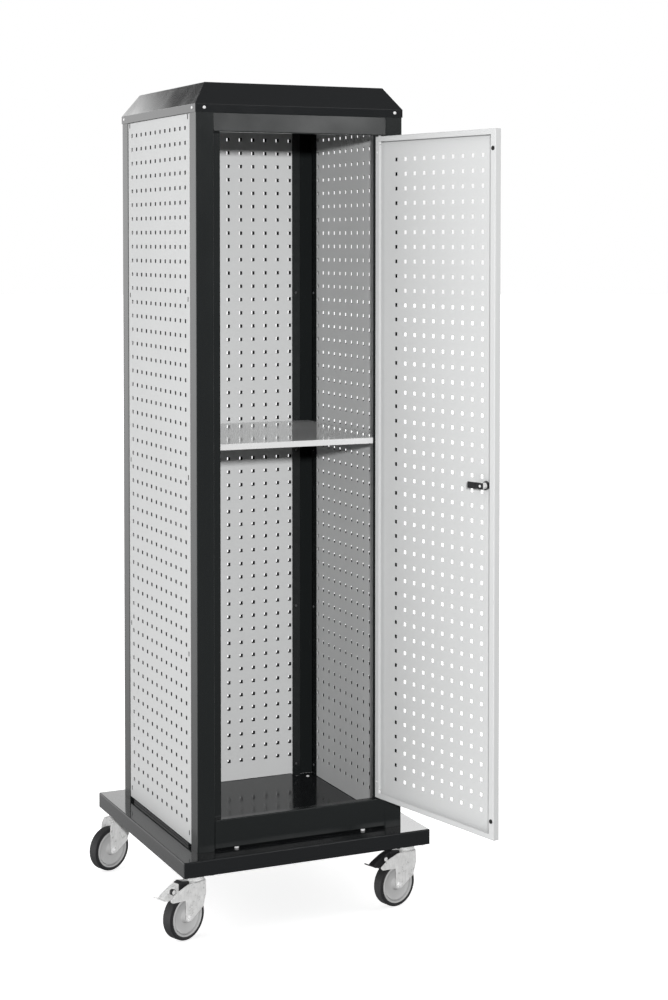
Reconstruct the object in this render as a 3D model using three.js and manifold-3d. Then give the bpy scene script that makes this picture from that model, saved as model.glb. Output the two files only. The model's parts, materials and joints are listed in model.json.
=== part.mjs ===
// A mobile tower cabinet with double-skinned perforated walls, a perforated door, one shelf and
// four swivel casters. The perforations themselves are left out of the sheets here.
// Millimetres. +Z is up, -Y is the front, and the origin is on the floor under the tower's middle.
import * as THREE from "three";
import { mergeVertices } from "three/addons/utils/BufferGeometryUtils.js";
import Module from "manifold-3d";

const wasm = await Module();
wasm.setup();

// Clearances and sheet thicknesses
const GAP = 0.3;
const SHEET = 1.2;
const FRAME_SHEET = 1.5;
const HEAVY_SHEET = 2;

// Perforation pattern that sets the sizes of the walls and the door
const PITCH = 38;
const WALL_COLUMNS = 12;
const DOOR_COLUMNS = 10;

// Cabinet
const CABINET_HALF = 290;
const POST_WIDTH = 48;
const POST_FLANGE = 25;
const SIDE_RETURN = 19.3;
const FRONT_RETURN = 21.4;
const POST_INSIDE = CABINET_HALF - POST_WIDTH;
const FLANGE_TIP = POST_INSIDE - POST_FLANGE;
const SKIN_RECESS = 1;
const SKIN_HALF = (WALL_COLUMNS * PITCH) / 2 + 13.5;

// Heights
const TYRE_RADIUS = 60;
const CASTER_TOP = 166;
const TRAY_BOTTOM = 163;
const TRAY_TOP = 203;
const FLOOR_TOP = 212;
const TONGUE_DROP = 1.5;
const SKIN_BOTTOM = 213;
const SILL_BOTTOM = 208;
const SILL_TOP = 283;
const SHELF_TOP = 1246;
const LOCK_HEIGHT = 1161;
const HEADER_BOTTOM = 2043;
const CAP_SKIRT_BOTTOM = 2091.5;
const CEILING = 2095;
const SKIN_TOP = 2091;
const FRAME_TOP = 2109;
const POST_TOP = 2110;
const CAP_EAVES = 2112.3;
const CAP_TOP = 2170.5;

// Roof cap, platform and shelf
const CAP_HALF = 292;
const CAP_INSET = 40;
const TRAY_HALF = 348;
const SHELF_DEPTH = 15.5;

// Door, with its sizes taken from the hinge axis when it is shut
const DOOR_OPEN = THREE.MathUtils.degToRad(102.1);
const HINGE_X = 230;
const HINGE_Y = -280.8;
const DOOR_HALF = (DOOR_COLUMNS * PITCH) / 2 + 47.5;
const DOOR_BOTTOM = 285;
const DOOR_TOP = 2041;
const DOOR_FACE = -CABINET_HALF - HINGE_Y;
const DOOR_BACK = 9.6;
const DOOR_LIP = 16;
const HINGE_EDGE = 7.4;
const PIN_RADIUS = 4;
const LOCK_X = -191 - HINGE_X;
const BUMPER_INSET = 8.5;

// Casters
const CASTER_REACH = 300;
const TRAIL = 42;
const FORK_INSIDE = 19;
const FORK_SHEET = 2.5;
const CROWN_TOP = 144;
const TYRE_SIDES = 40;
const TREAD_RADIUS = TYRE_RADIUS / Math.cos(Math.PI / TYRE_SIDES);
const PEDAL_PIVOT = [-72, 126];
const SWIVEL_ANGLES = { front_left: 23.6, front_right: 14.8, rear_left: 21.3, rear_right: 17 };

const anthracite = { color: 0x2c2e31, roughness: 0.35, metalness: 0.1 };
const lightGrey = { color: 0xd3d5d5, roughness: 0.5, metalness: 0.0 };
const galvanised = { color: 0xb9bcbe, roughness: 0.35, metalness: 0.8 };
const zinc = { color: 0xc9cccf, roughness: 0.3, metalness: 0.9 };
const blackRubber = { color: 0x1a1a1a, roughness: 0.8, metalness: 0.0 };
const greyRubber = { color: 0x55585a, roughness: 0.7, metalness: 0.0 };
const rimPlastic = { color: 0xb4b7b9, roughness: 0.45, metalness: 0.0 };
const blackPlastic = { color: 0x202224, roughness: 0.5, metalness: 0.0 };

// ---- geometry helpers ----

// A three.js geometry as a manifold solid.
function solid(geometry) {
  const bare = geometry.index ? geometry.toNonIndexed() : geometry.clone();
  bare.deleteAttribute("normal");
  bare.deleteAttribute("uv");
  const merged = mergeVertices(bare, 1e-4);
  const vertProperties = merged.attributes.position.array;
  const triVerts = new Uint32Array(merged.index.array);
  return new wasm.Manifold(new wasm.Mesh({ numProp: 3, vertProperties, triVerts }));
}

// A manifold solid as a three.js geometry with flat faces.
function geometryOf(manifold) {
  const { vertProperties, triVerts } = manifold.getMesh();
  const indexed = new THREE.BufferGeometry();
  indexed.setAttribute("position", new THREE.BufferAttribute(vertProperties, 3));
  indexed.setIndex(new THREE.BufferAttribute(triVerts, 1));
  const flat = indexed.toNonIndexed();
  flat.computeVertexNormals();
  return flat;
}

const join = (parts) => parts.reduce((all, part) => all.add(part));
const cut = (body, tools) => tools.reduce((left, tool) => left.subtract(tool), body);

// A block between two corners.
function block([x0, y0, z0], [x1, y1, z1]) {
  const box = new THREE.BoxGeometry(Math.abs(x1 - x0), Math.abs(y1 - y0), Math.abs(z1 - z0));
  return solid(box.translate((x0 + x1) / 2, (y0 + y1) / 2, (z0 + z1) / 2));
}

function extruded(points, depth) {
  const shape = new THREE.Shape(points.map(([x, y]) => new THREE.Vector2(x, y)));
  return new THREE.ExtrudeGeometry(shape, { depth, bevelEnabled: false });
}

// An outline in plan, standing from z0 to z1.
const column = (points, z0, z1) => solid(extruded(points, z1 - z0).translate(0, 0, z0));

// An outline seen from the side, as [x, z] points, reaching from y0 to y1.
const sidePlate = (points, y0, y1) =>
  solid(extruded(points, y1 - y0).rotateX(Math.PI / 2).translate(0, y1, 0));

// A round or many-sided bar along Z or along Y.
function bar(radius, from, to, [a, b], along = "z", sides = 24) {
  const cylinder = new THREE.CylinderGeometry(radius, radius, to - from, sides);
  cylinder.translate(0, (from + to) / 2, 0);
  if (along === "y") return solid(cylinder.translate(a, 0, b));
  return solid(cylinder.rotateX(Math.PI / 2).translate(a, b, 0));
}

// A square pyramid's lower part, from one half width to another.
function frustum(lowerHalf, upperHalf, z0, z1) {
  const root = Math.SQRT2;
  const turned = new THREE.CylinderGeometry(upperHalf * root, lowerHalf * root, z1 - z0, 4);
  turned.rotateY(Math.PI / 4).rotateX(Math.PI / 2);
  return solid(turned.translate(0, 0, (z0 + z1) / 2));
}

// A closed profile of [radius, y] points turned about the wheel's axis, with a flat at the bottom.
function turned(profile, segments) {
  const points = [...profile, profile[0]].map(([r, y]) => new THREE.Vector2(r, y));
  const lathe = new THREE.LatheGeometry(points, segments, Math.PI / segments);
  return solid(lathe.translate(-TRAIL, 0, TYRE_RADIUS));
}

// One sheet-metal pan: a block with a smaller block taken out of one side.
const pan = (outerA, outerB, innerA, innerB) => block(outerA, outerB).subtract(block(innerA, innerB));

const root = new THREE.Group();

function addMesh(parent, name, manifold, look) {
  const mesh = new THREE.Mesh(geometryOf(manifold), new THREE.MeshStandardMaterial(look));
  mesh.name = name;
  parent.add(mesh);
}

// ---- platform ----

function platformTray() {
  const inside = TRAY_HALF - HEAVY_SHEET;
  return pan(
    [-TRAY_HALF, -TRAY_HALF, TRAY_BOTTOM],
    [TRAY_HALF, TRAY_HALF, TRAY_TOP],
    [-inside, -inside, TRAY_BOTTOM - 1],
    [inside, inside, TRAY_TOP - HEAVY_SHEET],
  );
}

function casterRail(x) {
  const half = 45.5;
  const reach = 340;
  const web = 2.5;
  const bottom = CASTER_TOP + GAP;
  const top = TRAY_TOP - HEAVY_SHEET - GAP;
  return pan(
    [x - half, -reach, bottom],
    [x + half, reach, top],
    [x - half + web, -reach - 1, bottom + web],
    [x + half - web, reach + 1, top + 1],
  );
}

// ---- cabinet frame ----

// A corner post: an outer angle, two returns beside the walls and two flanges behind them.
function post(sideX, sideY) {
  const h = CABINET_HALF;
  const t = FRAME_SHEET;
  const depthY = sideY < 0 ? FRONT_RETURN : SIDE_RETURN;
  const depthX = SIDE_RETURN;
  const profile = [
    [FLANGE_TIP, h - depthY],
    [POST_INSIDE, h - depthY],
    [POST_INSIDE, h],
    [h, h],
    [h, POST_INSIDE],
    [h - depthX, POST_INSIDE],
    [h - depthX, FLANGE_TIP],
    [h - depthX - t, FLANGE_TIP],
    [h - depthX - t, POST_INSIDE + t],
    [h - t, POST_INSIDE + t],
    [h - t, h - t],
    [POST_INSIDE + t, h - t],
    [POST_INSIDE + t, h - depthY - t],
    [FLANGE_TIP, h - depthY - t],
  ];
  const placed = profile.map(([x, y]) => [sideX * x, sideY * y]);
  return column(placed, TRAY_TOP + GAP, POST_TOP);
}

// The door's pivot holes in the rails above and below it.
const pivotHole = () => bar(PIN_RADIUS + 0.4, 0, POST_TOP, [HINGE_X, HINGE_Y]);

// A rail across the front, open to the back, from one height to another.
function frontRail(z0, z1) {
  const end = POST_INSIDE - 0.5;
  const depth = 20;
  const t = FRAME_SHEET;
  return pan(
    [-end, -CABINET_HALF, z0],
    [end, -CABINET_HALF + depth, z1],
    [-end - 1, -CABINET_HALF + t, z0 + t],
    [end + 1, -CABINET_HALF + depth + 1, z1 - t],
  );
}

const header = () => cut(frontRail(HEADER_BOTTOM, FRAME_TOP), [pivotHole()]);
const sill = () => cut(frontRail(SILL_BOTTOM, SILL_TOP), [pivotHole()]);

// A block in the shape of a plus that keeps clear of the four posts.
function plus(inset, z0, z1) {
  const wide = CABINET_HALF - SIDE_RETURN - FRAME_SHEET - 0.5 - inset;
  const front = 0.7 - inset;
  const narrow = FLANGE_TIP - 1 - inset;
  return join([
    block([-wide, -narrow, z0], [wide, narrow, z1]),
    block([-narrow, -wide - front, z0], [narrow, wide, z1]),
  ]);
}

// The floor's outline at an inset: its raised middle, and low tongues that reach out under three walls.
function floorStep(inset, bottom, top) {
  const reach = CABINET_HALF - 2.5 - inset;
  const half = FLANGE_TIP - 1 - inset;
  const tongueTop = top - TONGUE_DROP;
  return join([
    plus(inset, bottom, top),
    block([-reach, -half, bottom], [reach, half, tongueTop]),
    block([-half, 0, bottom], [half, reach, tongueTop]),
  ]);
}

const baseFloor = () =>
  floorStep(0, TRAY_TOP + 0.6, FLOOR_TOP).subtract(floorStep(FRAME_SHEET, TRAY_TOP, FLOOR_TOP - FRAME_SHEET));

const topDeck = () =>
  plus(0, CEILING, FRAME_TOP).subtract(plus(FRAME_SHEET, CEILING + FRAME_SHEET, FRAME_TOP + 1));

function roofCap() {
  const t = FRAME_SHEET;
  const outer = join([
    block([-CAP_HALF, -CAP_HALF, CAP_SKIRT_BOTTOM], [CAP_HALF, CAP_HALF, CAP_EAVES]),
    frustum(CAP_HALF, CAP_HALF - CAP_INSET, CAP_EAVES, CAP_TOP),
  ]);
  const inner = CAP_HALF - t;
  const hollow = join([
    block([-inner, -inner, CAP_SKIRT_BOTTOM - 1], [inner, inner, CAP_EAVES - t / 2]),
    frustum(inner, inner - CAP_INSET, CAP_EAVES - t / 2, CAP_TOP - t),
  ]);
  return outer.subtract(hollow);
}

// ---- walls ----

// The outer skin of the right wall: a shallow pan that opens inwards.
function outerSkin() {
  const face = CABINET_HALF - SKIN_RECESS;
  const edge = CABINET_HALF - SIDE_RETURN + GAP + SHEET + GAP;
  return pan(
    [edge, -SKIN_HALF, SKIN_BOTTOM],
    [face, SKIN_HALF, SKIN_TOP],
    [edge - 1, -SKIN_HALF + SHEET, SKIN_BOTTOM + SHEET],
    [face - SHEET, SKIN_HALF - SHEET, SKIN_TOP - SHEET],
  );
}

// The inner skin of the right wall: a flat sheet against the post flanges.
function innerSkin() {
  const face = CABINET_HALF - SIDE_RETURN + GAP;
  return block([face, -SKIN_HALF, SKIN_BOTTOM], [face + SHEET, SKIN_HALF, SKIN_TOP]);
}

function addWalls() {
  const quarterTurns = { right: 0, rear: 1, left: 2 };
  for (const [side, turns] of Object.entries(quarterTurns)) {
    const wall = new THREE.Group();
    wall.rotation.z = (turns * Math.PI) / 2;
    addMesh(wall, `${side}_outer_skin`, outerSkin(), lightGrey);
    addMesh(wall, `${side}_inner_skin`, innerSkin(), lightGrey);
    root.add(wall);
  }
}

// ---- shelf ----

const SHELF_HALF = CABINET_HALF - SIDE_RETURN - FRAME_SHEET - 0.7;
const SHELF_FRONT = -(CABINET_HALF - FRONT_RETURN - FRAME_SHEET - 0.9);

function shelf() {
  const bottom = SHELF_TOP - SHELF_DEPTH;
  return pan(
    [-SHELF_HALF, SHELF_FRONT, bottom],
    [SHELF_HALF, SHELF_HALF, SHELF_TOP],
    [-SHELF_HALF + SHEET, SHELF_FRONT + SHEET, bottom - 1],
    [SHELF_HALF - SHEET, SHELF_HALF - SHEET, SHELF_TOP - SHEET],
  );
}

// An angle clip on a side flange, with its foot under the shelf's edge.
function shelfClip(sideX, sideY) {
  const face = SHELF_HALF + 0.4;
  const middle = FLANGE_TIP + 10;
  const foot = 14;
  const top = SHELF_TOP - SHELF_DEPTH - GAP;
  const t = HEAVY_SHEET;
  const outline = [
    [sideX * face, top],
    [sideX * (face - foot), top],
    [sideX * (face - foot), top - t],
    [sideX * (face - t), top - t],
    [sideX * (face - t), top - foot],
    [sideX * face, top - foot],
  ];
  return sidePlate(outline, sideY * middle - 7, sideY * middle + 7);
}

// ---- door, modelled shut and about its hinge axis ----

function doorLeaf() {
  const free = HINGE_EDGE - 2 * DOOR_HALF;
  const t = SHEET;
  const box = pan(
    [free, DOOR_FACE, DOOR_BOTTOM],
    [HINGE_EDGE, DOOR_BACK, DOOR_TOP],
    [free + t, DOOR_FACE + t, DOOR_BOTTOM + t],
    [HINGE_EDGE - t, DOOR_BACK - t, DOOR_TOP - t],
  );
  const window = block(
    [free + DOOR_LIP, DOOR_BACK - 2 * t, DOOR_BOTTOM + DOOR_LIP],
    [HINGE_EDGE - DOOR_LIP, DOOR_BACK + 1, DOOR_TOP - DOOR_LIP],
  );
  const pinHole = bar(PIN_RADIUS + 0.3, DOOR_BOTTOM - 1, DOOR_TOP + 1, [0, 0]);
  const lockHole = bar(8.3, DOOR_FACE - 1, DOOR_FACE + 3, [LOCK_X, LOCK_HEIGHT], "y");
  return cut(box, [window, pinHole, lockHole]);
}

// A pivot pin with a collar inside the door, from z0 to z1.
function hingePin(z0, z1, collar) {
  return join([bar(PIN_RADIUS, z0, z1, [0, 0]), bar(5.6, collar, collar + 3, [0, 0])]);
}

function bumper(height) {
  const x = HINGE_EDGE - 2 * DOOR_HALF + BUMPER_INSET;
  return bar(5.5, DOOR_BACK + GAP, DOOR_BACK + 2.3, [x, height], "y");
}

const LOCK_OUT = DOOR_FACE - 2.5;
const BARREL_END = 12;
const CAM_NEAR = BARREL_END + 0.6;
const CAM_SHEET = 3;
const CAM_STEP = 3;

function lockBody() {
  const at = [LOCK_X, LOCK_HEIGHT];
  const barrel = bar(8, LOCK_OUT, BARREL_END, at, "y");
  const rose = bar(12, LOCK_OUT, DOOR_FACE - GAP, at, "y");
  return join([barrel, rose]).subtract(bar(5.2, LOCK_OUT - 1, BARREL_END + 1, at, "y"));
}

function lockNut() {
  const at = [LOCK_X, LOCK_HEIGHT];
  const start = DOOR_FACE + SHEET + GAP;
  return bar(11.5, start, start + 7, at, "y", 6).subtract(bar(8.3, start - 1, start + 8, at, "y"));
}

function lockCore() {
  const at = [LOCK_X, LOCK_HEIGHT];
  const plug = bar(4.8, LOCK_OUT - 0.6, BARREL_END, at, "y");
  const stub = bar(3.4, BARREL_END - 1, CAM_NEAR + CAM_SHEET + 1, at, "y");
  const keySlot = block(
    [LOCK_X - 0.6, LOCK_OUT - 2, LOCK_HEIGHT - 3],
    [LOCK_X + 0.6, LOCK_OUT + 6, LOCK_HEIGHT + 3],
  );
  return join([plug, stub]).subtract(keySlot);
}

// A cranked tongue that points at the hinge when it is unlocked.
function lockCam() {
  const half = 8;
  const near = CAM_NEAR;
  const far = CAM_NEAR + CAM_STEP;
  const plan = [
    [LOCK_X - half, near],
    [LOCK_X + 14, near],
    [LOCK_X + 18, far],
    [LOCK_X + 44, far],
    [LOCK_X + 44, far + CAM_SHEET],
    [LOCK_X + 17, far + CAM_SHEET],
    [LOCK_X + 13, near + CAM_SHEET],
    [LOCK_X - half, near + CAM_SHEET],
  ];
  const tongue = column(plan, LOCK_HEIGHT - half, LOCK_HEIGHT + half);
  return tongue.subtract(bar(3.7, near - 1, far + CAM_SHEET, [LOCK_X, LOCK_HEIGHT], "y"));
}

function addDoor() {
  const door = new THREE.Group();
  door.position.set(HINGE_X, HINGE_Y, 0);
  door.rotation.z = DOOR_OPEN;
  addMesh(door, "door_leaf", doorLeaf(), lightGrey);
  addMesh(door, "hinge_pin_bottom", hingePin(SILL_TOP - 7, DOOR_BOTTOM + 20, DOOR_BOTTOM + 2), zinc);
  addMesh(door, "hinge_pin_top", hingePin(DOOR_TOP - 20, HEADER_BOTTOM + 7, DOOR_TOP - 5), zinc);
  addMesh(door, "door_bumper_bottom", bumper(DOOR_BOTTOM + 47), blackRubber);
  addMesh(door, "door_bumper_top", bumper(DOOR_TOP - 48), blackRubber);
  addMesh(door, "lock_body", lockBody(), zinc);
  addMesh(door, "lock_nut", lockNut(), blackPlastic);
  addMesh(door, "lock_core", lockCore(), zinc);
  addMesh(door, "lock_cam", lockCam(), blackPlastic);
  root.add(door);
}

// ---- casters, each modelled about its swivel axis with the wheel trailing towards -X ----

const AXLE = [-TRAIL, TYRE_RADIUS];

// The fixed top plate with its upper race and the riveted king pin.
function casterPlate(x, y) {
  const plate = block([x - 40, y - 45, CASTER_TOP - 3], [x + 40, y + 45, CASTER_TOP]);
  const race = bar(24.5, CROWN_TOP + 6.3, CASTER_TOP - 2, [x, y]);
  const pin = bar(6, CROWN_TOP - 9, CASTER_TOP - 2, [x, y]);
  const rivet = bar(10, CROWN_TOP - 10, CROWN_TOP - 3.4, [x, y]);
  return join([plate, race, pin, rivet]);
}

// One leg of a fork; a braked caster's leg has a wing that carries the pedal.
function forkLeg(braked, y0, y1) {
  const front = [
    [-25, CROWN_TOP],
    [14, CROWN_TOP - 2],
    [18, CROWN_TOP - 8],
    [18, 112],
    [10, 82],
    [-6, 69],
    [-32, 53],
  ];
  const tip = [
    [-37, 50.5],
    [-45, 50.5],
    [-51, 56],
    [-53, 66],
  ];
  const plain = [
    [-54, 104],
    [-52, 128],
    [-44, 139],
  ];
  const wing = [
    [-54, 105],
    [-64, 106.5],
    [-98, 109.5],
    [-104, 113],
    [-103, 119],
    [-84, 131],
    [-67, 138],
    [-46, 142.5],
  ];
  return sidePlate([...front, ...tip, ...(braked ? wing : plain)], y0, y1);
}

function fork(braked) {
  const outside = FORK_INSIDE + FORK_SHEET;
  const crown = block([-26, -outside, CROWN_TOP - 3], [14, outside, CROWN_TOP]);
  const race = bar(22.5, CROWN_TOP - 1, CROWN_TOP + 6, [0, 0]);
  const legs = [forkLeg(braked, -outside, -FORK_INSIDE), forkLeg(braked, FORK_INSIDE, outside)];
  const holes = [
    bar(6.4, CROWN_TOP - 10, CROWN_TOP + 8, [0, 0]),
    bar(5.3, -outside - 1, outside + 1, AXLE, "y"),
  ];
  if (braked) holes.push(bar(3.3, -outside - 1, outside + 1, PEDAL_PIVOT, "y"));
  return cut(join([crown, race, ...legs]), holes);
}

function rim() {
  const half = [
    [14, 18],
    [16, 14],
    [17, 7],
    [41, 7],
    [44, 14],
    [50.4, 15],
  ];
  const mirrored = half.map(([r, y]) => [r, -y]);
  const profile = [[5.4, -18], ...mirrored, ...half.reverse(), [5.4, 18]];
  return turned(profile, 32);
}

function tyre() {
  const half = [
    [TREAD_RADIUS, 5],
    [TREAD_RADIUS - 1, 11],
    [TREAD_RADIUS - 3.5, 15],
    [50.8, 15.5],
  ];
  const mirrored = half.map(([r, y]) => [r, -y]);
  const profile = [...mirrored.reverse(), ...half];
  return turned(profile, TYRE_SIDES);
}

function axleBolt() {
  const head = FORK_INSIDE + FORK_SHEET + GAP;
  return join([
    bar(5, -head - 2, head + 2, AXLE, "y", 20),
    bar(8.6, -head - 5, -head, AXLE, "y", 6),
    bar(8.6, head, head + 6, AXLE, "y", 6),
  ]);
}

// A lever between the fork's legs, with a wide thin toe plate at its end.
function brakePedal() {
  const lever = [
    [-34, 136],
    [-34, 146],
    [-60, 151],
    [-88, 148],
    [-114, 134],
    [-122, 127],
    [-122, 121],
    [-114, 116],
    [-94, 113],
    [-78, 117],
    [-52, 128],
  ];
  const toe = [
    [-116, 118],
    [-142, 127],
    [-142, 130],
    [-116, 123],
  ];
  const body = join([sidePlate(lever, -12, 12), sidePlate(toe, -22, 22)]);
  return body.subtract(bar(3.4, -13, 13, PEDAL_PIVOT, "y"));
}

function pedalPin() {
  const end = FORK_INSIDE + FORK_SHEET;
  return bar(3, -end, end, PEDAL_PIVOT, "y", 20);
}

function addCaster(corner, degrees) {
  const x = corner.endsWith("left") ? -CASTER_REACH : CASTER_REACH;
  const y = corner.startsWith("front") ? -CASTER_REACH : CASTER_REACH;
  const braked = corner.startsWith("front");
  addMesh(root, `${corner}_caster_plate`, casterPlate(x, y), zinc);
  const swivel = new THREE.Group();
  swivel.position.set(x, y, 0);
  swivel.rotation.z = THREE.MathUtils.degToRad(degrees);
  addMesh(swivel, `${corner}_fork`, fork(braked), zinc);
  addMesh(swivel, `${corner}_axle_bolt`, axleBolt(), zinc);
  addMesh(swivel, `${corner}_rim`, rim(), rimPlastic);
  addMesh(swivel, `${corner}_tyre`, tyre(), greyRubber);
  if (braked) {
    addMesh(swivel, `${corner}_brake_pedal`, brakePedal(), blackPlastic);
    addMesh(swivel, `${corner}_pedal_pin`, pedalPin(), zinc);
  }
  root.add(swivel);
}

// ---- assembly ----

function addFrame() {
  for (const [name, sideX] of [["left", -1], ["right", 1]]) {
    addMesh(root, `caster_rail_${name}`, casterRail(sideX * CASTER_REACH), anthracite);
    addMesh(root, `front_${name}_post`, post(sideX, -1), anthracite);
    addMesh(root, `rear_${name}_post`, post(sideX, 1), anthracite);
    addMesh(root, `sill_bolt_${name}`, bar(6, TRAY_TOP + GAP, SILL_BOTTOM - GAP, [sideX * 180, -283]), zinc);
    for (const [end, sideY] of [["front", -1], ["rear", 1]]) {
      addMesh(root, `shelf_clip_${end}_${name}`, shelfClip(sideX, sideY), zinc);
    }
  }
}

addMesh(root, "platform_tray", platformTray(), anthracite);
addFrame();
addMesh(root, "base_floor", baseFloor(), anthracite);
addMesh(root, "sill", sill(), anthracite);
addMesh(root, "header", header(), anthracite);
addMesh(root, "top_deck", topDeck(), anthracite);
addMesh(root, "roof_cap", roofCap(), anthracite);
addWalls();
addMesh(root, "shelf", shelf(), galvanised);
addDoor();
for (const [corner, degrees] of Object.entries(SWIVEL_ANGLES)) addCaster(corner, degrees);

export default root;
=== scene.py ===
"""A mobile tower cabinet with double-skinned perforated walls, an open perforated door, one shelf and
four swivel casters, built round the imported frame. Metres, +Z up, the door opening faces -Y."""
import json
import math

import bmesh
import bpy
from mathutils import Matrix, Vector


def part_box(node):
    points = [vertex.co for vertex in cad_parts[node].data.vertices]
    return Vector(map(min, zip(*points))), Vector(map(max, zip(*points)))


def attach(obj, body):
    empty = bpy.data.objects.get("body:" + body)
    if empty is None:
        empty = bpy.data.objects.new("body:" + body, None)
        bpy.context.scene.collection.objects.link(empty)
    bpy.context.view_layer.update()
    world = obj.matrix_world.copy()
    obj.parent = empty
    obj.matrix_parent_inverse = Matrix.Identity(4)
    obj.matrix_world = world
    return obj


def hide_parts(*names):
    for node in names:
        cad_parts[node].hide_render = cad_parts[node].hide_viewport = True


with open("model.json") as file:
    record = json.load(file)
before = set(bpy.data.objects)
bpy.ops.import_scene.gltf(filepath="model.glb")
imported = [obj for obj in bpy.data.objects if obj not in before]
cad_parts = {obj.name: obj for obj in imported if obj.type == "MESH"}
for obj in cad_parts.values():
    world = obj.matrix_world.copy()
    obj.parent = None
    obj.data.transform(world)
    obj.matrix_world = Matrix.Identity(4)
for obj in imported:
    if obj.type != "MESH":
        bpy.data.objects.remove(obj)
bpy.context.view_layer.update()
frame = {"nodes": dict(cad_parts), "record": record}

JOINTS = {joint["name"]: joint for joint in frame["record"]["behaviour"]["joints"]}
MM = 0.001
# Lengths under this count as nothing
NEAR = 1e-6

# The perforation: square holes on a square pitch
PITCH = 0.038
HOLE = 0.010
HOLE_CORNER = 0.0011
# Faces under this area, in square metres, are the walls of the holes; they get the painted shade of the
# hollow
HOLE_WALL = 1.7e-5
# The slots beside the field of holes: where they stand, and their width and height
SLOT_LINE = 0.228
SLOT_SIZE = (0.0055, 0.0125)

# Sheets and folds
SHEET = 0.0012
FRAME_SHEET = 0.0015
FOLD = 0.0018

# Cabinet frame
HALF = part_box("front_right_post")[1][0]
POST_WIDTH = 0.048
POST_INSIDE = HALF - POST_WIDTH
FLANGE_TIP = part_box("front_right_post")[0][0]
SIDE_RETURN = 0.0193
FRONT_RETURN = 0.0214
SCREW_HEIGHTS = [0.2405, 0.7049, 1.1605, 1.6169, 2.0824]

# Door, about its hinge axis when shut
HINGE = Vector(JOINTS["door_hinge"]["pos_m"])
DOOR_ANGLE = -math.radians(JOINTS["door_hinge"]["range_deg"][0])
DOOR_WIDTH = 0.475
HINGE_EDGE = 0.0074
DOOR_FACE = -0.0092
DOOR_BACK = 0.0096
DOOR_COLUMNS = 10
DOOR_ROWS = 44
DOOR_TOP_ROW = 1.979

# Casters
CASTERS = ["front_left", "front_right", "rear_left", "rear_right"]
WHEEL_RADIUS = 0.060
TRAIL = 0.042
FORK_INSIDE = 0.019
FORK_SHEET = 0.0025


# ---------------------------------------------------------------- materials

class Nodes:
    """A short way to write a node tree."""

    def __init__(self, name):
        self.material = bpy.data.materials.new(name)
        self.material.use_nodes = True
        self.tree = self.material.node_tree
        self.shader = self.tree.nodes["Principled BSDF"]
        self.coords = self.tree.nodes.new("ShaderNodeTexCoord").outputs["Object"]

    def node(self, kind, inputs=(), **settings):
        made = self.tree.nodes.new("ShaderNode" + kind)
        for key, value in settings.items():
            setattr(made, key, value)
        for key, value in dict(inputs).items():
            if isinstance(value, bpy.types.NodeSocket):
                self.tree.links.new(value, made.inputs[key])
            else:
                made.inputs[key].default_value = value
        return made

    def noise(self, scale, detail=3.0, roughness=0.55, stretch=(1, 1, 1)):
        placed = self.node("Mapping", {"Vector": self.coords, "Scale": stretch})
        vector = placed.outputs["Vector"]
        inputs = {"Vector": vector, "Scale": scale, "Detail": detail, "Roughness": roughness}
        return self.node("TexNoise", inputs).outputs["Fac"]

    def span(self, value, low, high, out_low, out_high):
        inputs = {"Value": value, "From Min": low, "From Max": high, "To Min": out_low, "To Max": out_high}
        return self.node("MapRange", inputs).outputs["Result"]

    def mix(self, factor, a, b):
        inputs = {"Factor": factor, "A": a, "B": b}
        made = self.tree.nodes.new("ShaderNodeMix")
        made.data_type = "RGBA"
        for key, value in inputs.items():
            socket = next(s for s in made.inputs if s.name == key and s.enabled)
            if isinstance(value, bpy.types.NodeSocket):
                self.tree.links.new(value, socket)
            else:
                socket.default_value = value
        return next(s for s in made.outputs if s.enabled)

    def facing_up(self):
        normal = self.node("NewGeometry").outputs["Normal"]
        return self.node("SeparateXYZ", {"Vector": normal}).outputs["Z"]

    def bump(self, height, strength, distance):
        inputs = {"Height": height, "Strength": strength, "Distance": distance}
        return self.node("Bump", inputs).outputs["Normal"]

    def set(self, **inputs):
        for key, value in inputs.items():
            socket = self.shader.inputs[key.replace("_", " ")]
            if isinstance(value, bpy.types.NodeSocket):
                self.tree.links.new(value, socket)
            else:
                socket.default_value = value
        return self.material


def shade(colour, factor):
    return tuple(min(1.0, c * factor) for c in colour[:3]) + (1.0,)


DUST = (0.5, 0.5, 0.48, 1)


def powder_coat(name, colour, roughness, grain, relief, spread=0.05, dust=0.0, ior=1.5):
    """Sprayed powder: a fine orange peel, cloudy gloss, and a little dust on what faces up."""
    n = Nodes(name)
    cloud = n.noise(2.3, 4)
    peel = n.noise(grain, 2, 0.6)
    tone = n.mix(n.span(cloud, 0.3, 0.7, 0, 1), shade(colour, 1 - spread), shade(colour, 1 + spread))
    speck = n.span(n.noise(grain * 0.45, 1), 0.62, 0.75, 0, 0.12)
    tone = n.mix(speck, tone, shade(colour, 1.35))
    settled = n.span(n.noise(14, 5), 0.42, 0.72, 0.2 * dust, dust)
    upward = n.span(n.facing_up(), 0.6, 1.0, 0, 1)
    film = n.node("Math", {0: settled, 1: upward}, operation="MULTIPLY").outputs[0]
    tone = n.mix(film, tone, DUST)
    gloss = n.span(n.noise(9, 3), 0.3, 0.7, roughness - 0.03, roughness + 0.04)
    return n.set(
        Base_Color=tone,
        Roughness=gloss,
        Normal=n.bump(peel, relief, 0.0002),
        IOR=ior,
    )


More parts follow.
